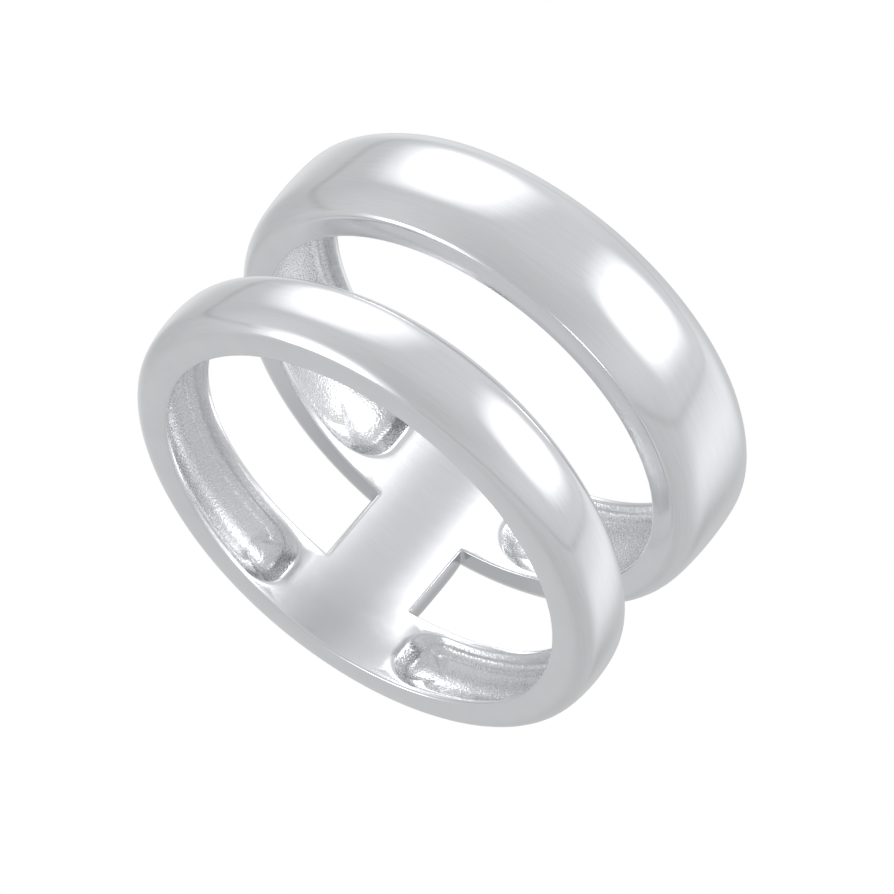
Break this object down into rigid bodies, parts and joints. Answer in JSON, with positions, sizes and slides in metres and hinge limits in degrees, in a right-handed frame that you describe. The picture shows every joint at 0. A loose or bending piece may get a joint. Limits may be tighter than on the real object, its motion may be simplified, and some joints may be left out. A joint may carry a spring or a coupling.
{
  "type": "stacking ring",
  "caption": "Polished silver stacking ring: a wide and a narrow half-round band joined by one short bridge on the palm side, with an open gap between them and hollowed backs.",
  "frame": {"origin": "on the axis of the finger hole, in the plane of the wide band's free face, on which the ring lies", "axes": "+Z along the axis of the finger hole, from the wide band to the narrow band; -Y towards the top of the hand, +Y towards the palm, where the bridge is"},
  "size_m": [0.0206, 0.0205, 0.0113],
  "materials": {
    "silver": "polished"
  },
  "bodies": {
    "root": {"double_band_ring": "silver"}
  },
  "joints": []
}
